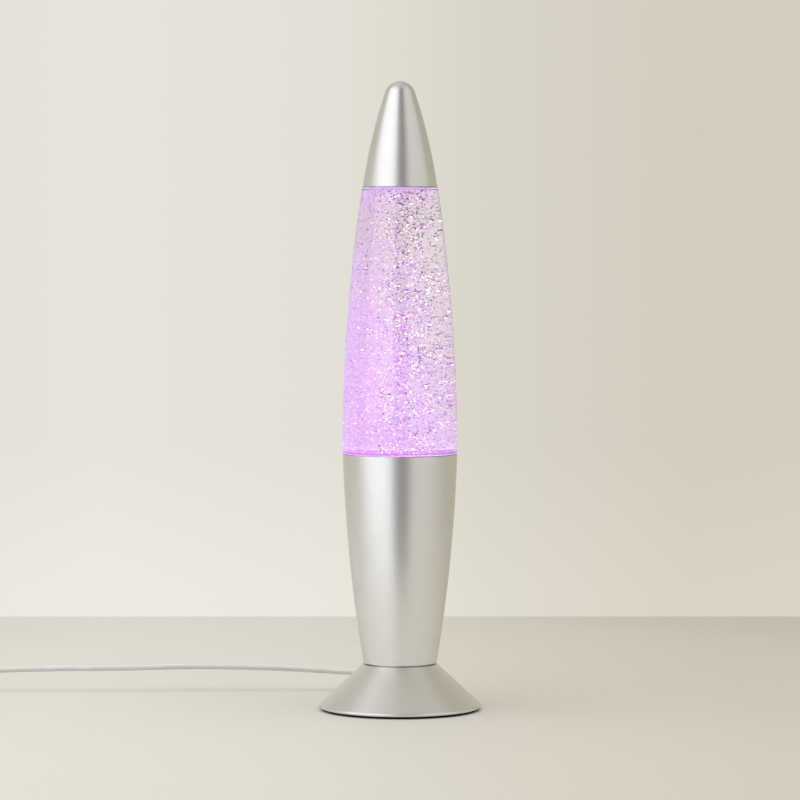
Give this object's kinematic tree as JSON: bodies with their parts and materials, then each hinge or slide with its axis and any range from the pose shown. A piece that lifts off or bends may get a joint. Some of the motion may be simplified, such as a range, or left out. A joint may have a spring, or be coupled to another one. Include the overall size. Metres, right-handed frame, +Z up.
{
  "type": "liquid motion lamp",
  "caption": "Rocket-shaped table lamp: a glitter-filled glass bottle standing in a lit satin metal cup on a flared foot, with a metal cap on top and a low-voltage lead.",
  "frame": {"origin": "on the table under the lamp's axis, at the underside of the anti-slip pad", "axes": "+Z up along the lamp's axis, +Y to the rear where the cord leaves the foot, +X to the right as seen from the front"},
  "size_m": [0.4725, 0.1554, 0.406],
  "materials": {
    "satin_silver": "satin lacquered spun aluminium",
    "clear_glass": "polished clear glass",
    "lit_liquid": "clear liquid lit violet from below",
    "glitter": "metallised film",
    "black_foam": "matt",
    "black_plastic": "fine grain",
    "brass": "bright",
    "steel": "zinc plated",
    "magnet": "nickel plated",
    "white_plastic": "smooth moulded",
    "blue_plastic": "moulded",
    "diffuser": "frosted",
    "board": "solder mask",
    "led": "resin over phosphor",
    "wire": "insulated core",
    "cord_white": "satin sheath"
  },
  "bodies": {
    "base": {"anti_slip_pad": "black_foam", "bottom_cover": "black_plastic", "base_foot": "satin_silver", "base_cup": "satin_silver", "centre_tube": "brass", "tube_nuts": "steel", "tube_washers": "steel", "light_tray": "white_plastic", "motor_case": "steel", "motor_end_cap": "black_plastic", "motor_screws": "steel", "led_board": "board", "leds": "led", "control_chip": "black_plastic", "diffuser": "diffuser", "cord_leads": "wire", "motor_leads": "wire", "inner_cord": "cord_white", "cord_bush": "cord_white", "cord_run": "cord_white", "switch_lower_shell": "white_plastic", "switch_upper_shell": "white_plastic", "switch_pin": "steel", "switch_contacts": "brass", "switch_screws": "steel", "cord_link": "cord_white", "cord_coil": "cord_white", "coil_tie": "cord_white", "cord_tail": "cord_white", "plug_grip": "cord_white", "plug_shell": "steel", "plug_tongue": "white_plastic"},
    "drive_rotor": {"motor_shaft": "steel", "drive_disc": "blue_plastic", "drive_magnets": "magnet"},
    "bottle_unit": {"glass_bottle": "clear_glass", "liquid_fill": "lit_liquid", "glitter_flakes": "glitter", "bottle_stopper": "white_plastic", "stopper_seal": "black_foam"},
    "stirrer_rotor": {"stirrer": "white_plastic", "stirrer_magnets": "magnet"},
    "cap_unit": {"top_cap": "satin_silver", "cap_ring": "black_plastic"},
    "rocker_unit": {"switch_rocker": "white_plastic"}
  },
  "joints": [
    {"name": "bottle_lift", "type": "slide", "parent": "base", "child": "bottle_unit", "axis": [0, 0, 1], "range_m": [0, 0.08]},
    {"name": "cap_lift", "type": "slide", "parent": "bottle_unit", "child": "cap_unit", "axis": [0, 0, 1], "range_m": [0, 0.05]},
    {"name": "drive_spin", "type": "hinge", "parent": "base", "child": "drive_rotor", "pos_m": [0, 0, 0.107], "axis": [0, 0, 1], "continuous": true},
    {"name": "stirrer_spin", "type": "hinge", "parent": "bottle_unit", "child": "stirrer_rotor", "pos_m": [0, 0, 0.122], "axis": [0, 0, 1], "continuous": true},
    {"name": "rocker_tilt", "type": "hinge", "parent": "base", "child": "rocker_unit", "pos_m": [-0.329, 0.093, 0.0104], "axis": [0, 1, 0], "range_deg": [-20, 0]}
  ],
  "couplings": [
    {"joint": "stirrer_spin", "follows": "drive_spin", "ratio": 1}
  ]
}
